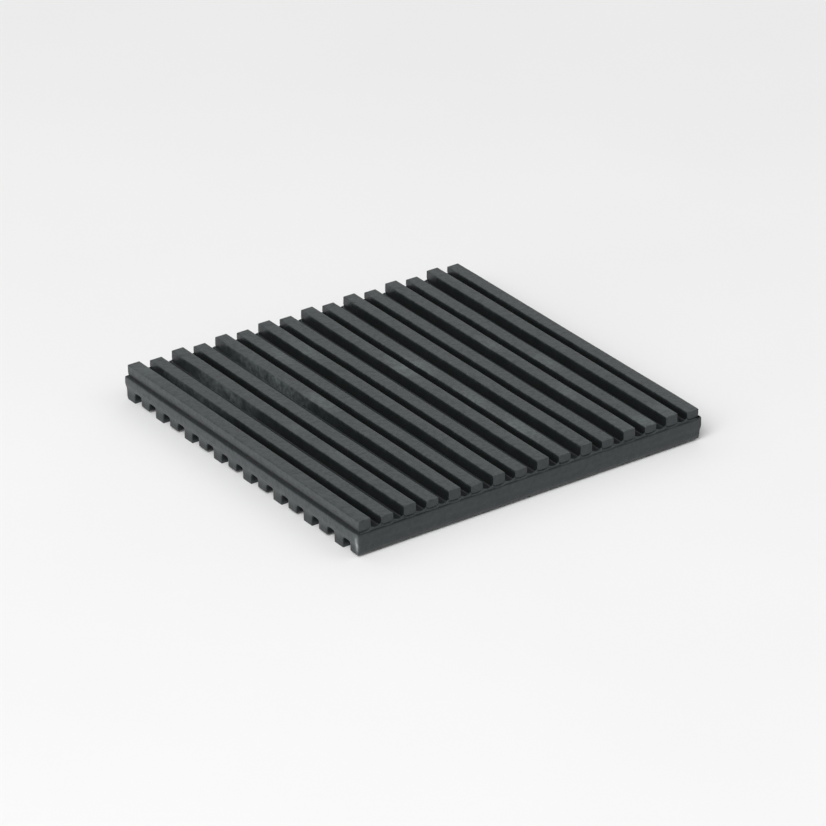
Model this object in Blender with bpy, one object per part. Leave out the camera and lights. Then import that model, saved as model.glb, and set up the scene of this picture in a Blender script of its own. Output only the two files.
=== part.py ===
"""A square rubber anti-vibration pad with crossed ribs, high and low in turn.

A ribbed sheet is bonded into a shallow tray in the top of a thicker slab. The slab has ribs of its own
underneath, at right angles to the sheet's, and its edge stands proud of both sets of ribs as a lip.
Metres, +Z up. The origin is on the ground under the middle of the pad. The sheet's ribs run along Y,
with a high one at -X, and the slab's run along X, with a deep one at +Y.
"""

import math

import bmesh
import bpy
from mathutils import Matrix, Vector

# Driving dimensions, in metres.
SIDE = 0.1016  # the square pad over its lip, 4 in
THICKNESS = 0.009525  # a deep rib's foot to a high rib's top, 3/8 in
RIB_COUNT = 16  # on each face
RIB_WIDTH = 0.00355  # at the rib's foot
RIB_TAPER = 0.00006  # how much each flank leans in on its way up
UPPER_HEIGHT = 0.0032  # a high rib, from its groove's floor
UPPER_STEP = 0.0007  # how much lower every second upper rib is
LOWER_DEPTH = 0.0029  # a deep rib, from its groove's floor
LOWER_STEP = 0.0006  # how much shallower every second lower rib is
EDGE_RADIUS = 0.0003  # along a rib's top edges
FLOOR_RADIUS = 0.0006  # in the corners of a groove's floor
ARC_STEPS = 3

GAP = 0.0003  # between two pieces that touch
RIM_WIDTH = 0.00022  # the thin rim of the tray, round the ribbed sheet
SKIN = 0.0006  # the ribbed sheet under its groove floors
FILM = 0.0003  # the bonding film
FILM_MARGIN = 0.001  # from the sheet's edge to the film's
LIP_HEIGHT = 0.0021  # the upright part of the slab's edge
LIP_TAPER = 0.00035  # how much the edge leans in below that, down to the lower ribs
ROOT_DEPTH = 0.001  # how far the lower ribs' backing goes up into the slab

# Worked out from those.
UPPER_BLOCK = SIDE - 2 * (RIM_WIDTH + GAP)  # the square that the upper ribs cover
LOWER_BLOCK = SIDE - 2 * LIP_TAPER  # the square that the lower ribs cover
LOWER_FLOOR = LOWER_DEPTH  # the lower grooves' floors, above the ground
UPPER_FLOOR = THICKNESS - UPPER_HEIGHT  # the upper grooves' floors, level with the rim
SKIN_BOTTOM = UPPER_FLOOR - SKIN
FILM_MIDDLE = SKIN_BOTTOM - GAP - FILM / 2
TRAY_FLOOR = SKIN_BOTTOM - 2 * GAP - FILM
TRAY_SIDE = SIDE - 2 * RIM_WIDTH
FLIP = Matrix.Rotation(math.pi, 4, Vector((1, -1, 0)))  # turns a ribbed shape over, to face down


def clear_scene():
    for obj in list(bpy.data.objects):
        bpy.data.objects.remove(obj, do_unlink=True)


def collection(name):
    made = bpy.data.collections.new(name)
    bpy.context.scene.collection.children.link(made)
    return made


def rubber(name, colour, roughness):
    made = bpy.data.materials.new(name)
    made.use_nodes = True
    shader = made.node_tree.nodes["Principled BSDF"]
    shader.inputs["Base Color"].default_value = (*colour, 1)
    shader.inputs["Roughness"].default_value = roughness
    shader.inputs["Metallic"].default_value = 0
    return made


def add_object(name, mesh, home, look=None):
    obj = bpy.data.objects.new(name, mesh)
    home.objects.link(obj)
    if look:
        mesh.materials.append(look)
    return obj


def arc(centre_x, centre_y, radius, start, end):
    """Points round a quarter of a circle, from one angle to another, in degrees."""
    angles = [math.radians(start + (end - start) * i / ARC_STEPS) for i in range(ARC_STEPS + 1)]
    return [(centre_x + radius * math.cos(a), centre_y + radius * math.sin(a)) for a in angles]


def rib_outline(middle, height, rounded_left, rounded_right):
    """One rib's outline from left foot to right foot, above a groove floor at 0. A foot on the outside
    of the block goes straight down, and any other turns into its groove's floor."""
    foot = RIB_WIDTH / 2
    top = foot - RIB_TAPER
    left_foot = [(middle - foot, 0)]
    if rounded_left:
        left_foot = arc(middle - foot - FLOOR_RADIUS, FLOOR_RADIUS, FLOOR_RADIUS, -90, 0)
    right_foot = [(middle + foot, 0)]
    if rounded_right:
        right_foot = arc(middle + foot + FLOOR_RADIUS, FLOOR_RADIUS, FLOOR_RADIUS, 180, 270)
    edge_height = height - EDGE_RADIUS
    left_edge = arc(middle - top + EDGE_RADIUS, edge_height, EDGE_RADIUS, 180, 90)
    right_edge = arc(middle + top - EDGE_RADIUS, edge_height, EDGE_RADIUS, 90, 0)
    return left_foot + left_edge + right_edge + right_foot


def comb_outline(block, tall, step, backing):
    """The cross-section of a ribbed sheet: every rib, high and low in turn, on a backing."""
    half = block / 2
    pitch = (block - RIB_WIDTH) / (RIB_COUNT - 1)
    points = [(-half, -backing)]
    for i in range(RIB_COUNT):
        middle = (i - (RIB_COUNT - 1) / 2) * pitch
        height = tall - step * (i % 2)
        points += rib_outline(middle, height, i > 0, i < RIB_COUNT - 1)
    return points + [(half, -backing)]


def ribbed_mesh(name, block, tall, step, backing):
    """A square ribbed sheet as a mesh, its ribs up and along Y and its groove floors at height 0."""
    outline = comb_outline(block, tall, step, backing)
    curve = bpy.data.curves.new(name, "CURVE")
    curve.dimensions = "2D"
    curve.fill_mode = "BOTH"
    curve.extrude = block / 2
    spline = curve.splines.new("POLY")
    spline.points.add(len(outline) - 1)
    for point, (x, y) in zip(spline.points, outline):
        point.co = (x, y, 0, 1)
    spline.use_cyclic_u = True
    drawn = bpy.data.objects.new(name, curve)
    bpy.context.scene.collection.objects.link(drawn)
    graph = bpy.context.evaluated_depsgraph_get()
    mesh = bpy.data.meshes.new_from_object(drawn.evaluated_get(graph))
    bpy.data.objects.remove(drawn, do_unlink=True)
    mesh.transform(Matrix.Rotation(math.pi / 2, 4, "X"))
    weld(mesh)
    mesh.name = name
    return mesh


def weld(mesh):
    """Joins an extruded outline's caps to its sides, and shades its arcs round."""
    work = bmesh.new()
    work.from_mesh(mesh)
    bmesh.ops.remove_doubles(work, verts=work.verts, dist=0.000001)
    bmesh.ops.recalc_face_normals(work, faces=work.faces)
    work.to_mesh(mesh)
    work.free()
    mesh.shade_smooth()
    mesh.set_sharp_from_angle(angle=math.radians(50))


def box_mesh(name, width, low, high):
    """A square block of one width, between two heights."""
    work = bmesh.new()
    size = Matrix.Diagonal((width, width, high - low, 1))
    place = Matrix.Translation((0, 0, (low + high) / 2))
    bmesh.ops.create_cube(work, size=1, matrix=place @ size)
    mesh = bpy.data.meshes.new(name)
    work.to_mesh(mesh)
    work.free()
    return mesh


def lipped_mesh(name):
    """The slab without its ribs: an upright edge above, and below it a taper in to the lower ribs."""
    lip_foot = UPPER_FLOOR - LIP_HEIGHT
    mesh = box_mesh(name, SIDE, lip_foot, UPPER_FLOOR)
    work = bmesh.new()
    work.from_mesh(mesh)
    under = min(work.faces, key=lambda face: face.calc_center_median().z)
    grown = bmesh.ops.extrude_face_region(work, geom=[under])["geom"]
    corners = [item for item in grown if isinstance(item, bmesh.types.BMVert)]
    bmesh.ops.delete(work, geom=[under], context="FACES_ONLY")
    shrink = LOWER_BLOCK / SIDE
    bmesh.ops.scale(work, verts=corners, vec=(shrink, shrink, 1))
    bmesh.ops.translate(work, verts=corners, vec=(0, 0, LOWER_FLOOR - lip_foot))
    bmesh.ops.recalc_face_normals(work, faces=work.faces)
    work.to_mesh(mesh)
    work.free()
    return mesh


def combine(obj, other, operation):
    """Joins a helper to an object, or cuts the object by it, and keeps the helper out of renders."""
    step = obj.modifiers.new(other.name, "BOOLEAN")
    step.operation = operation
    step.solver = "EXACT"
    step.object = other
    other.hide_render = True
    other.display_type = "WIRE"


def upper_ribbed_sheet(home):
    look = rubber("upper_rubber", (0.075, 0.08, 0.08), 0.75)
    mesh = ribbed_mesh("upper_ribbed_sheet", UPPER_BLOCK, UPPER_HEIGHT, UPPER_STEP, SKIN)
    sheet = add_object("upper_ribbed_sheet", mesh, home, look)
    sheet.location.z = UPPER_FLOOR


def bond_film(home):
    look = rubber("bond_film", (0.02, 0.02, 0.02), 0.5)
    width = UPPER_BLOCK - 2 * FILM_MARGIN
    low, high = FILM_MIDDLE - FILM / 2, FILM_MIDDLE + FILM / 2
    add_object("bond_film", box_mesh("bond_film", width, low, high), home, look)


def lower_ribbed_slab(home, helpers):
    """The slab with its lip, its tray for the ribbed sheet, and its own ribs facing down."""
    look = rubber("lower_rubber", (0.07, 0.075, 0.075), 0.75)
    slab = add_object("lower_ribbed_slab", lipped_mesh("lower_ribbed_slab"), home, look)
    mesh = ribbed_mesh("lower_ribs_shape", LOWER_BLOCK, LOWER_DEPTH, LOWER_STEP, ROOT_DEPTH)
    ribs = add_object("lower_ribs_shape", mesh, helpers)
    ribs.matrix_world = Matrix.Translation((0, 0, LOWER_FLOOR)) @ FLIP
    combine(slab, ribs, "UNION")
    above = UPPER_FLOOR + UPPER_HEIGHT
    tray = add_object("tray_shape", box_mesh("tray_shape", TRAY_SIDE, TRAY_FLOOR, above), helpers)
    combine(slab, tray, "DIFFERENCE")


def main():
    clear_scene()
    pad = collection("crossed_rib_pad")
    helpers = collection("helpers")
    upper_ribbed_sheet(pad)
    bond_film(pad)
    lower_ribbed_slab(pad, helpers)


main()
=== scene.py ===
import math
from itertools import product

import bmesh
import bpy
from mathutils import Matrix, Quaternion, Vector, noise


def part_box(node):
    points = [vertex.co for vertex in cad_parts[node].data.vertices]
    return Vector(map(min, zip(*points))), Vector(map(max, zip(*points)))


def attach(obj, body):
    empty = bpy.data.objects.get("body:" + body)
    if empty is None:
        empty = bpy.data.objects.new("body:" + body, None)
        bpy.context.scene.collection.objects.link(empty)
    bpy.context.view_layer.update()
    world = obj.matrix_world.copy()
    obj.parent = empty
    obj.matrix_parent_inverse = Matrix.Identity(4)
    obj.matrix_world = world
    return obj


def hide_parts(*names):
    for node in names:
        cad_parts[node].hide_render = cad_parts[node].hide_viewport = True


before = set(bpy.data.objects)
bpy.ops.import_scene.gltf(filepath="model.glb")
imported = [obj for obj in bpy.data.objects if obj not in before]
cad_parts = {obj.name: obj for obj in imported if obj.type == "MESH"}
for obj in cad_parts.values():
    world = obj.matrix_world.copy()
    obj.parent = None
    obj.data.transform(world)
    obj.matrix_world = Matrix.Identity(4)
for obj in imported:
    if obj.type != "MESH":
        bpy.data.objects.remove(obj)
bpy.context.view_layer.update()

# The pad's layout, in metres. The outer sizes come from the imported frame, and these are the rest.
RIB_COUNT = 16  # on each face
RIB_WIDTH = 0.00355  # at the rib's foot
RIB_TAPER = 0.00006  # how much each flank leans in on its way up
UPPER_STEP = 0.0007  # how much lower every second upper rib is
LOWER_STEP = 0.0006  # how much shallower every second lower rib is
LOWER_DEPTH = 0.0029  # a deep lower rib, from its groove's floor
RIM_WIDTH = 0.00022  # the thin rim round the upper sheet
TRAY_DEPTH = 0.0015  # from the rim's top down to the tray's floor
LIP_HEIGHT = 0.0021  # the upright part of the slab's edge
LIP_TAPER = 0.00035  # how much the edge leans in below that

# How the moulding softens it.
EDGE_SOFT = 0.00022  # from a rib's top edge to the line that holds its rounding
FLOOR_SOFT = 0.0011  # the same in the corners of a groove's floor
LIP_SOFT = 0.0005  # the same round the slab's outer edge
FOOT_SOFT = 0.0003  # the same where the ribs' outer faces meet the flange
SEAM = 0.00012  # between the sheet's thin flange and the rim
SIDE_NOTCH = 0.0004  # how deep a notch runs along the foot of the two outer ribs
END_NOTCH = 0.0002  # the same along the feet of the ribs' ends
NOTCH_HEIGHT = 0.0004  # of both
COVE_DEPTH = 0.00025  # the hollow above the notch of the two outer ribs
COVE_HEIGHT = 0.0023  # where it runs out
END_TAPER = 0.0002  # how much the slab's -Y and +Y edges lean in below the lip
FOOT_ROUND = 0.0005  # how far the slab's -Y and +Y bottom edges are rounded off
FOOT_RISE = 0.001  # how far up that reaches
FLASH_RISE = 0.0004  # how much higher the rim stands at +X, where the moulding has left a flash
RIM_ROUND = 0.7  # how much of the rim's width its rounding takes
SLOW_WAVE = (0.017, 0.00007)  # the moulding's unevenness: how far apart its humps are, and how high
FINE_WAVE = (0.0055, 0.00003)
NOISE_SEED = 1  # not 0, which would start the noise from the clock
UPPER_PLACE = 1  # where in the noise each piece's waves are read
LOWER_PLACE = 11
FINE_PLACE = 5  # added to either for the fine wave

# The lattice that both pieces are made on.
STATION = 0.004  # between lattice lines along a rib
HOLD_BELOW = 0.7  # a line just below a corner, as a share of the height that it holds
HOLD_ABOVE = 1.5  # the same just above it
SUBDIVISIONS = 1  # rounds of smoothing
NEAR = 1e-6  # two lattice values closer than this are the same

# How grey the rubber is painted, from 0, clean and black, to 1. It is partly the rubber's blooming and
# partly painted light and shade: the faces at -X and +X are painted lighter than those at -Y and +Y, and
# the grooves and the feet of the two outer ribs are left black as painted shade.
TOP_GREY = 0.7  # the upper ribs' tops and the lower ribs' feet
SIDE_LIT_GREY = 1.0  # the faces at -X and +X; their greater share than the -Y and +Y faces is painted light
TOOTH_GREY = 0.25  # the lower ribs' ends, below those faces
END_SHADED_GREY = 0.25  # the faces at -Y and +Y; their smaller share than the -X and +X faces is painted shade
GROOVE_SHADE_DEPTH = 0.001  # how far it reaches down a flank; below that the grooves are left black as painted shade
FOOT_SHADE_FADE = 1.5  # how sharply it fades towards the foot of the two outer ribs, as painted shade along that crease

# Dusty smudges on the upper ribs, as (x, y, length along the ribs, width across them, strength).
TOP_SMUDGES = (
    (0.0060, 0.0090, 0.0060, 0.0055, 1.2),
    (0.0095, -0.0320, 0.0070, 0.0030, 1.0),
    (0.0090, -0.0140, 0.0060, 0.0030, 0.8),
    (0.0350, -0.0080, 0.0040, 0.0020, 1.0),
    (0.0290, -0.0250, 0.0040, 0.0020, 0.7),
    (0.0290, 0.0070, 0.0040, 0.0020, 0.7),
    (0.0370, -0.0480, 0.0040, 0.0080, 0.8),
    (-0.0225, 0.0060, 0.0050, 0.0025, 0.9),
    (-0.0160, 0.0330, 0.0050, 0.0020, 0.7),
    (-0.0100, 0.0320, 0.0050, 0.0025, 0.7),
    (-0.0350, -0.0200, 0.0030, 0.0020, 0.6),
    (-0.0350, -0.0020, 0.0030, 0.0020, 0.6),
    (-0.0480, 0.0460, 0.0050, 0.0020, 0.7),
)
FLANK_SMUDGES = (  # on the ribs' sides
    (-0.0245, 0.0250, 0.0160, 0.0010, 1.0),
    (-0.0375, 0.0270, 0.0130, 0.0010, 0.8),
    (-0.0440, 0.0300, 0.0140, 0.0010, 0.6),
)

MOUTH_DUST = 0.1  # on the groove floors at their ends
MOUTH_LENGTH = 0.0006  # how far in from the ribs' ends a mouth reaches
WEB_HEIGHT = 0.0005  # of the flash that stands across a groove's mouth
WEB_CORNER = 0.0005  # how much higher it is against the ribs, which rounds the mouth's corners
WEB_REACH = 0.0022  # how far up a rib's end that is felt
# A pale streak down the slab's front corner.
PALE_CORNER_STREAK = (-0.0508, -0.0500, 0.0034, 0.0005, 0.0024, 2.6)  # x, y, z, size, height, strength

sheet_low, sheet_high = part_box("upper_ribbed_sheet")
slab_low, slab_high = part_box("lower_ribbed_slab")
UPPER_HALF = sheet_high.x
SLAB_HALF = slab_high.x
TOP = sheet_high.z
LOW_TOP = TOP - UPPER_STEP
RIM_TOP = slab_high.z  # the upper groove floors are level with it
TRAY_FLOOR = RIM_TOP - TRAY_DEPTH
LIP_FOOT = RIM_TOP - LIP_HEIGHT


# Shapes

def ribs_across(half):
    """Every rib's two flanks, from one side of a square of this half width to the other."""
    pitch = (2 * half - RIB_WIDTH) / (RIB_COUNT - 1)
    return [(-half + i * pitch, -half + i * pitch + RIB_WIDTH) for i in range(RIB_COUNT)]


def lines_across(ribs):
    """Lattice lines across a set of ribs: both flanks of each, its middle, and the lines that hold the
    roundings."""
    lines = []
    for left, right in ribs:
        lines += [left - FLOOR_SOFT, left, left + EDGE_SOFT, (left + right) / 2]
        lines += [right - EDGE_SOFT, right, right + FLOOR_SOFT]
    low, high = ribs[0][0], ribs[-1][1]
    return [x for x in lines if low <= x <= high]


def lines_along(half, soft):
    """Lattice lines along the ribs, evenly spaced between those that hold the roundings of the two ends."""
    inner = half - 2 * soft
    count = round(2 * inner / STATION)
    middle = [-inner + 2 * inner * i / count for i in range(count + 1)]
    return [-half, -half + soft, *middle, half - soft, half]


def tidy(lines):
    """Lattice lines in order, each once."""
    kept = []
    for x in sorted(lines):
        if not kept or x - kept[-1] > NEAR:
            kept.append(x)
    return kept


def beyond(x, half):
    """Whether a place is at the edge of a square of this half width, or outside it."""
    return abs(x) > half - NEAR


def rib_at(ribs, x):
    """The number of the rib that covers x, or None over a groove."""
    return next((i for i, (left, right) in enumerate(ribs) if left - NEAR <= x <= right + NEAR), None)


def skin_of_cells(name, lines, filled, shape, bloom_and_painted_light, dust):
    """The closed skin round the filled cells of a lattice, as quads. shape moves each corner to its place,
    bloom_and_painted_light says how grey the rubber is painted there, from blooming and from painted light
    and shade, and dust says how dusty it is and how pale the front corner's streak is."""
    full = set()
    for cell in product(*(range(len(line) - 1) for line in lines)):
        middle = [(line[i] + line[i + 1]) / 2 for line, i in zip(lines, cell)]
        if filled(*middle):
            full.add(cell)
    work = bmesh.new()
    corners = {}
    greys = []
    dusts = []

    def corner(key):
        if key not in corners:
            point = Vector([line[i] for line, i in zip(lines, key)])
            greys.append(bloom_and_painted_light(point))
            dusts.append(dust(point))
            corners[key] = work.verts.new(shape(point))
        return corners[key]

    for cell in sorted(full):
        for axis, side in product(range(3), (0, 1)):
            beside = list(cell)
            beside[axis] += 2 * side - 1
            if tuple(beside) in full:
                continue
            u, v = (axis + 1) % 3, (axis + 2) % 3
            loop = []
            for du, dv in ((0, 0), (1, 0), (1, 1), (0, 1)):
                key = list(cell)
                key[axis] += side
                key[u] += du
                key[v] += dv
                loop.append(corner(tuple(key)))
            work.faces.new(loop if side else loop[::-1])
    mesh = bpy.data.meshes.new(name)
    work.to_mesh(mesh)
    work.free()
    mesh.shade_smooth()
    mesh.attributes.new("bloom_and_painted_light", "FLOAT", "POINT").data.foreach_set("value", greys)
    mesh.attributes.new("dust", "FLOAT", "POINT").data.foreach_set("value", dusts)
    return mesh


def smudged(smudges, point):
    """How dusty a set of smudges makes a place."""
    total = 0.0
    for x, y, length, width, strength in smudges:
        total += strength * bell((point.y - y) / length) * bell((point.x - x) / width)
    return total


def bell(distance):
    return math.exp(-distance * distance)


def wander(point, place, size, most):
    """A smooth random offset that changes over about this distance."""
    return noise.noise_vector(point / size + Vector((place, 2 * place, 3 * place))) * most


def moulded(point, place):
    """The slight unevenness of a cheap moulding: a slow wave and a finer one."""
    offset = wander(point, place, *SLOW_WAVE) + wander(point, place + FINE_PLACE, *FINE_WAVE)
    return point + offset


def lean(x, middle, z):
    """How far a place on an upper rib moves in towards the rib's middle, more the higher it is."""
    return (middle - x) / (RIB_WIDTH / 2) * RIB_TAPER * max(0.0, (z - RIM_TOP) / (TOP - RIM_TOP))


def hollow(z, notch, cove):
    """How far a foot is cut in at a height: a notch at the bottom, and a hollow that runs out above it."""
    rise = z - RIM_TOP
    if rise < NOTCH_HEIGHT - NEAR:
        return notch
    return cove * max(0.0, 1 - rise / COVE_HEIGHT) ** 2


def hold(x, half, reach):
    """How much of an outer face's shift a place follows: all at the edge, and none this far inside it."""
    return math.copysign(max(0.0, 1 - (half - abs(x)) / reach), x)


def upper_mesh():
    """The ribbed sheet: ribs along Y, high and low in turn from -X, on a thin skin that reaches the rim."""
    ribs = ribs_across(UPPER_HALF)
    flange = SLAB_HALF - RIM_WIDTH - SEAM
    xs = tidy(lines_across(ribs) + [-flange, flange])
    mouth = UPPER_HALF - MOUTH_LENGTH
    ys = tidy(lines_along(UPPER_HALF, EDGE_SOFT) + [-flange, -mouth, mouth, flange])
    zs = tidy([
        sheet_low.z, RIM_TOP - FOOT_SOFT, RIM_TOP,
        RIM_TOP + NOTCH_HEIGHT * HOLD_BELOW, RIM_TOP + NOTCH_HEIGHT, RIM_TOP + NOTCH_HEIGHT * HOLD_ABOVE,
        RIM_TOP + FLOOR_SOFT, RIM_TOP + FLOOR_SOFT * HOLD_ABOVE,
        LOW_TOP - EDGE_SOFT, LOW_TOP, TOP - EDGE_SOFT, TOP,
    ])

    def top_of(x):
        rib = rib_at(ribs, x)
        if rib is None:
            return RIM_TOP
        return LOW_TOP if rib % 2 else TOP

    def filled(x, y, z):
        return z < RIM_TOP or abs(y) < UPPER_HALF and z < top_of(x)

    # Painted light and shade with the rubber's blooming: the -X and +X faces lighter than the ends, fading
    # to black down into the grooves and towards the outer ribs' feet as painted shade.
    def bloom_and_painted_light(point):
        if point.z < RIM_TOP + NEAR:
            at_web = abs(point.x) < UPPER_HALF and point.z > RIM_TOP - FOOT_SOFT - NEAR
            return END_SHADED_GREY if at_web and beyond(point.y, UPPER_HALF) else 0.0
        depth = top_of(point.x) - point.z
        if depth < NEAR:
            return TOP_GREY
        if beyond(point.x, UPPER_HALF):
            return SIDE_LIT_GREY * min(1.0, (point.z - RIM_TOP) / COVE_HEIGHT) ** FOOT_SHADE_FADE
        if beyond(point.y, UPPER_HALF):
            return END_SHADED_GREY
        return TOP_GREY * max(0.0, 1 - depth / GROOVE_SHADE_DEPTH) ** 2

    def dust(point):
        depth = top_of(point.x) - point.z
        if point.z < RIM_TOP + NEAR:
            on_floor = abs(point.x) < UPPER_HALF and point.z > RIM_TOP - NEAR
            return MOUTH_DUST * bell((UPPER_HALF - abs(point.y)) / MOUTH_LENGTH) if on_floor else 0.0
        return smudged(TOP_SMUDGES if depth < NEAR else FLANK_SMUDGES, point)

    def web(y, extra):
        """How high the flash stands, at a place along a groove."""
        if abs(y) > UPPER_HALF + NEAR:
            return WEB_HEIGHT / 2
        return (WEB_HEIGHT + extra) * max(0.0, 1 - (UPPER_HALF - abs(y)) / MOUTH_LENGTH)

    def shape(point):
        rib = rib_at(ribs, point.x)
        spread = Vector()
        if rib is not None and point.z > RIM_TOP - NEAR:
            left, right = ribs[rib]
            spread.x = lean(point.x, (left + right) / 2, point.z)
            at_flank = min(point.x - left, right - point.x) < NEAR and not beyond(point.x, UPPER_HALF)
            if at_flank:
                rise = max(0.0, 1 - (point.z - RIM_TOP) / WEB_REACH)
                spread.z = web(point.y, WEB_CORNER) * rise
            if abs(point.y) < UPPER_HALF + NEAR:
                side = hold(point.x, UPPER_HALF, RIB_WIDTH / 2)
                end = hold(point.y, UPPER_HALF, MOUTH_LENGTH)
                spread.x -= hollow(point.z, SIDE_NOTCH, COVE_DEPTH) * side
                spread.y -= hollow(point.z, END_NOTCH, 0) * end
        elif rib is None and point.z > RIM_TOP - NEAR and abs(point.x) < UPPER_HALF:
            spread.z = web(point.y, 0)
        return moulded(point + spread, UPPER_PLACE)

    return skin_of_cells("upper_ribbed_rubber", (xs, ys, zs), filled, shape, bloom_and_painted_light, dust)


def lower_mesh():
    """The slab: a rim and a tray above, a lip that tapers in below it, and ribs along X underneath."""
    floor = LOWER_DEPTH
    skirt = SLAB_HALF - 1.5 * LIP_SOFT  # what is outside this follows the taper
    ribs = ribs_across(SLAB_HALF - LIP_TAPER)
    tray = SLAB_HALF - RIM_WIDTH
    edge = [SLAB_HALF, tray, SLAB_HALF - LIP_SOFT, SLAB_HALF - 2 * LIP_SOFT]
    edges = edge + [-e for e in edge]
    inner = [y for y in lines_across(ribs) if abs(y) < SLAB_HALF - 3 * LIP_SOFT]
    xs = tidy(edges + lines_along(SLAB_HALF, LIP_SOFT)[2:-2])
    ys = tidy(edges + inner)
    zs = tidy([
        0, EDGE_SOFT, LOWER_STEP, LOWER_STEP + EDGE_SOFT, floor - FLOOR_SOFT, floor,
        (floor + LIP_FOOT) / 2, LIP_FOOT, TRAY_FLOOR, RIM_TOP - LIP_SOFT, RIM_TOP - LIP_SOFT / 2, RIM_TOP,
    ])

    def filled(x, y, z):
        if z > TRAY_FLOOR:
            return abs(x) > tray or abs(y) > tray
        if z > floor:
            return True
        rib = rib_at(ribs, max(ribs[0][0], min(ribs[-1][1], y)))
        return rib is not None and z > (0 if rib % 2 else LOWER_STEP)

    # Painted light and shade with the rubber's blooming: the -X and +X faces lighter than the -Y and +Y
    # faces, and black on the rim's top and in the grooves underneath as painted shade.
    def bloom_and_painted_light(point):
        if point.z > RIM_TOP - NEAR:
            return 0.0
        if beyond(point.x, SLAB_HALF):
            if point.z < floor - NEAR:
                return TOOTH_GREY
            return SIDE_LIT_GREY * min(1.0, (RIM_TOP - point.z) / LIP_SOFT)
        if beyond(point.y, SLAB_HALF):
            return END_SHADED_GREY
        return TOP_GREY if point.z < LOWER_STEP + NEAR else 0.0

    # Only the pale streak on the front corner.
    def dust(point):
        x, y, z, size, height, strength = PALE_CORNER_STREAK
        near_corner = bell((point.x - x) / size) * bell((point.y - y) / size)
        return strength * near_corner * bell((point.z - z) / height)

    def shape(point):
        lowered = min(1.0, max(0.0, (LIP_FOOT - point.z) / (LIP_FOOT - floor)))
        rounding = RIM_ROUND * RIM_WIDTH * max(0.0, 1 - (RIM_TOP - point.z) / LIP_SOFT) ** 2
        foot = LOWER_STEP if point.y < 0 else 0
        rounded = max(0.0, 1 - (point.z - foot) / FOOT_RISE) ** 2
        for axis, taper in ((0, LIP_TAPER), (1, END_TAPER)):
            if beyond(point[axis], SLAB_HALF):
                point[axis] -= math.copysign(rounding, point[axis])
            if abs(point[axis]) > skirt:
                point[axis] -= math.copysign(taper * lowered, point[axis])
        point.y -= FOOT_ROUND * rounded * hold(point.y, SLAB_HALF - END_TAPER, RIB_WIDTH / 2)
        if point.x > tray - LIP_SOFT:
            point.z += FLASH_RISE * max(0.0, point.z - TRAY_FLOOR) / (RIM_TOP - TRAY_FLOOR)
        placed = moulded(point, LOWER_PLACE)
        placed.z = max(0.0, placed.z)
        return placed

    return skin_of_cells("lower_ribbed_rubber", (xs, ys, zs), filled, shape, bloom_and_painted_light, dust)


def add_piece(mesh, look, node):
    """Puts a fine piece in a CAD node's place."""
    piece = bpy.data.objects.new(mesh.name, mesh)
    bpy.context.scene.collection.objects.link(piece)
    mesh.materials.append(look)
    smooth = piece.modifiers.new("soft_edges", "SUBSURF")
    smooth.levels = SUBDIVISIONS
    smooth.render_levels = SUBDIVISIONS
    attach(piece, "root")
    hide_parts(node)


# Looks

MOTTLE = 240  # features a metre
GRAIN = 900
LUMPS = 400
CLEAN = 0.011  # greys
BLOOM_AND_LIGHT_GREY = 0.043
DUSTY = 0.13
STREAK_GREY = 0.4
MOTTLE_RELIEF = 0.00016
GRAIN_RELIEF = 0.00009
STREAK_RELIEF = 0.00002
LUMP_RELIEF = 0.00005


class Recipe:
    """A material's node tree, built by short calls."""

    def __init__(self, name):
        self.material = bpy.data.materials.new(name)
        self.material.use_nodes = True
        self.tree = self.material.node_tree
        self.shader = self.tree.nodes["Principled BSDF"]
        self.place = self.tree.nodes.new("ShaderNodeTexCoord").outputs["Object"]

    def link(self, value, socket):
        if isinstance(value, bpy.types.NodeSocket):
            self.tree.links.new(value, socket)
        else:
            socket.default_value = value

    def noise(self, scale, detail=4.0, stretch=(1, 1, 1)):
        """Fractal noise, with this many features a metre."""
        mapping = self.tree.nodes.new("ShaderNodeMapping")
        mapping.inputs["Scale"].default_value = stretch
        self.link(self.place, mapping.inputs["Vector"])
        node = self.tree.nodes.new("ShaderNodeTexNoise")
        node.inputs["Scale"].default_value = scale
        node.inputs["Detail"].default_value = detail
        self.link(mapping.outputs["Vector"], node.inputs["Vector"])
        return node.outputs["Fac"]

    def ramp(self, value, low, high, start=0.0, end=1.0):
        """value from low to high becomes start to end, and is held outside that."""
        node = self.tree.nodes.new("ShaderNodeMapRange")
        for name, number in zip(("From Min", "From Max", "To Min", "To Max"), (low, high, start, end)):
            node.inputs[name].default_value = number
        self.link(value, node.inputs["Value"])
        return node.outputs["Result"]

    def maths(self, operation, first, second):
        node = self.tree.nodes.new("ShaderNodeMath")
        node.operation = operation
        self.link(first, node.inputs[0])
        self.link(second, node.inputs[1])
        return node.outputs["Value"]

    def mix(self, factor, first, second):
        node = self.tree.nodes.new("ShaderNodeMix")
        node.data_type = "RGBA"
        self.link(factor, node.inputs["Factor"])
        for value, name in ((first, "A"), (second, "B")):
            socket = next(s for s in node.inputs if s.name == name and s.type == "RGBA")
            self.link(value, socket)
        return next(s for s in node.outputs if s.type == "RGBA")

    def attribute(self, name):
        node = self.tree.nodes.new("ShaderNodeAttribute")
        node.attribute_name = name
        return node.outputs["Fac"]

    def bump(self, height, depth, normal=None):
        """Relief of this depth in metres."""
        node = self.tree.nodes.new("ShaderNodeBump")
        node.inputs["Strength"].default_value = 1.0
        node.inputs["Distance"].default_value = depth
        self.link(height, node.inputs["Height"])
        if normal:
            self.link(normal, node.inputs["Normal"])
        return node.outputs["Normal"]


def grey(level, cool=0.12):
    """A grey, a little cool unless cool is 0."""
    return (level * (1 - cool), level * (1 + cool / 3), level * (1 + cool / 2), 1)


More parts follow.
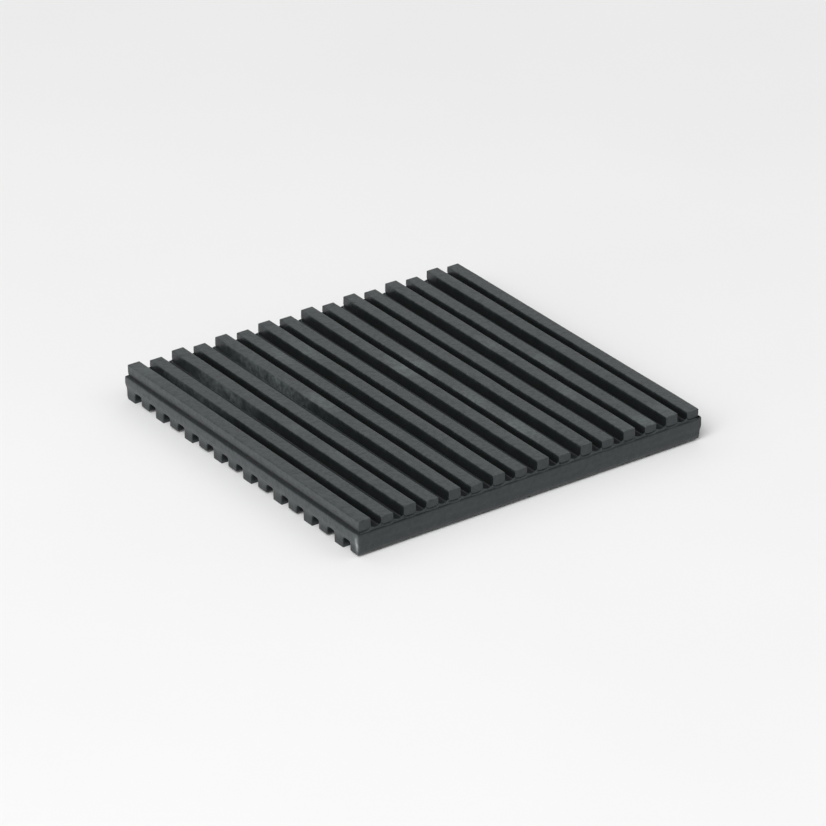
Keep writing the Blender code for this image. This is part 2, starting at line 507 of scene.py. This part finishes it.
def rubber(name, along):
    """Moulded rubber: black where it is clean and in its grooves, which are painted shade, greyer where it
    has bloomed, where light is painted on its outer faces and where dust has settled, pale on the front
    corner's streak, finely grained, and faintly streaked along its ribs."""
    recipe = Recipe(name)
    mottle = recipe.noise(MOTTLE, 5)
    grain = recipe.noise(GRAIN, 4)
    streaks = recipe.noise(GRAIN, 3, along)
    # The grey of painted light and shade together with the rubber's blooming, read from the mesh.
    bloom_and_painted_light = recipe.maths("MULTIPLY", recipe.attribute("bloom_and_painted_light"), recipe.ramp(mottle, 0.25, 0.75, 0.5, 1.5))
    bloom_and_painted_light = recipe.maths("MULTIPLY", bloom_and_painted_light, recipe.ramp(grain, 0.3, 0.7, 0.4, 1.6))
    tone = recipe.mix(bloom_and_painted_light, grey(CLEAN), grey(BLOOM_AND_LIGHT_GREY))
    dust = recipe.attribute("dust")
    scuffed = recipe.maths("MULTIPLY", dust, recipe.ramp(grain, 0.4, 0.65, 0.5, 1.0))
    scuffed = recipe.maths("MULTIPLY", scuffed, recipe.ramp(mottle, 0.3, 0.55, 0.4))
    scuffed = recipe.maths("MINIMUM", scuffed, 1.0)
    tone = recipe.mix(scuffed, tone, grey(DUSTY, 0.1))
    # Where the dust value passes 1, which is only on the front corner, the pale streak.
    pale_streak = recipe.maths("MULTIPLY", recipe.ramp(dust, 1.0, 2.4), recipe.ramp(grain, 0.35, 0.6, 0.5))
    tone = recipe.mix(pale_streak, tone, grey(STREAK_GREY, 0.0))
    recipe.link(tone, recipe.shader.inputs["Base Color"])
    gloss = recipe.ramp(mottle, 0.35, 0.65, 0.30, 0.44)
    gloss = recipe.maths("ADD", gloss, recipe.maths("MULTIPLY", scuffed, 0.3))
    recipe.link(gloss, recipe.shader.inputs["Roughness"])
    recipe.shader.inputs["Specular IOR Level"].default_value = 0.5
    recipe.shader.inputs["Specular Tint"].default_value = (0.92, 1.0, 1.05, 1)
    relief = recipe.bump(streaks, STREAK_RELIEF)
    relief = recipe.bump(mottle, MOTTLE_RELIEF, relief)
    relief = recipe.bump(grain, GRAIN_RELIEF, relief)
    recipe.link(relief, recipe.shader.inputs["Normal"])
    return recipe.material


def cement(name):
    """Cured rubber cement, seen by nobody: darker, lumpy and a little glossier than the rubber."""
    recipe = Recipe(name)
    lumps = recipe.noise(LUMPS, 4)
    tone = recipe.mix(recipe.ramp(lumps, 0.35, 0.65), grey(0.012), grey(0.03))
    recipe.link(tone, recipe.shader.inputs["Base Color"])
    recipe.link(recipe.ramp(lumps, 0.35, 0.65, 0.35, 0.6), recipe.shader.inputs["Roughness"])
    recipe.link(recipe.bump(lumps, LUMP_RELIEF), recipe.shader.inputs["Normal"])
    return recipe.material


# Studio

FLOOR_SIDE = 6.0
WORLD_LEVEL = 0.38
SOFTBOXES = (  # name, place, side, power
    ("key_softbox", (-1.5, -1.0, 1.9), 1.7, 54),
    ("side_softbox", (-1.2, -0.3, 0.35), 0.9, 3.0),
    ("back_softbox", (0.6, 0.85, 0.55), 1.0, 1.0),
    ("left_softbox", (-0.6, 0.95, 0.66), 0.9, 1.0),
    ("right_softbox", (0.66, -0.6, 0.95), 0.9, 2.0),
)
SENSOR = 36.0
CAMERA = {
    "azimuth": -34.95,  # degrees round from -Y
    "elevation": 27.41,
    "roll": -0.47,
    "distance": 1.285,
    "lens": 229.0,  # mm on the sensor's width
    "aim": (-0.00276, -0.00485, 0.0047),
}


def add_floor():
    work = bmesh.new()
    bmesh.ops.create_grid(work, x_segments=2, y_segments=2, size=FLOOR_SIDE / 2)
    mesh = bpy.data.meshes.new("studio_floor")
    work.to_mesh(mesh)
    work.free()
    floor = bpy.data.objects.new("studio_floor", mesh)
    bpy.context.scene.collection.objects.link(floor)
    recipe = Recipe("studio_floor")
    tone = recipe.mix(recipe.ramp(recipe.noise(9, 3), 0.3, 0.7), grey(0.84, 0.0), grey(0.86, 0.0))
    recipe.link(tone, recipe.shader.inputs["Base Color"])
    recipe.shader.inputs["Roughness"].default_value = 0.9
    recipe.shader.inputs["Specular IOR Level"].default_value = 0.1
    mesh.materials.append(recipe.material)


def add_softbox(name, place, side, power):
    """A square light at a place, turned to the pad."""
    light = bpy.data.lights.new(name, "AREA")
    light.shape = "SQUARE"
    light.size = side
    light.energy = power
    box = bpy.data.objects.new(name, light)
    bpy.context.scene.collection.objects.link(box)
    box.location = place
    box.rotation_euler = Vector(place).to_track_quat("Z", "Y").to_euler()
    box.visible_camera = False


def add_world(level):
    world = bpy.data.worlds.new("studio")
    world.use_nodes = True
    background = world.node_tree.nodes["Background"]
    background.inputs["Color"].default_value = (1.0, 1.0, 1.0, 1)
    background.inputs["Strength"].default_value = level
    bpy.context.scene.world = world


def add_camera(azimuth, elevation, roll, distance, lens, aim):
    """A camera that looks at aim from a distance. Azimuth 0 looks along +Y."""
    data = bpy.data.cameras.new("studio_camera")
    data.lens = lens
    data.sensor_width = SENSOR
    camera = bpy.data.objects.new("studio_camera", data)
    bpy.context.scene.collection.objects.link(camera)
    a, e = math.radians(azimuth), math.radians(elevation)
    back = Vector((math.sin(a) * math.cos(e), -math.cos(a) * math.cos(e), math.sin(e)))
    camera.location = Vector(aim) + back * distance
    camera.rotation_mode = "QUATERNION"
    camera.rotation_quaternion = Quaternion(back, math.radians(roll)) @ back.to_track_quat("Z", "Y")
    bpy.context.scene.camera = camera


def main():
    noise.seed_set(NOISE_SEED)
    upper = rubber("upper_rib_rubber", (1, 0.03, 1))
    lower = rubber("lower_rib_rubber", (0.03, 1, 1))
    add_piece(upper_mesh(), upper, "upper_ribbed_sheet")
    add_piece(lower_mesh(), lower, "lower_ribbed_slab")
    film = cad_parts["bond_film"].data.materials
    film.clear()
    film.append(cement("bond_cement"))
    add_floor()
    add_world(WORLD_LEVEL)
    for name, place, side, power in SOFTBOXES:
        add_softbox(name, place, side, power)
    add_camera(**CAMERA)
    bpy.context.scene.view_settings.view_transform = "Standard"


main()
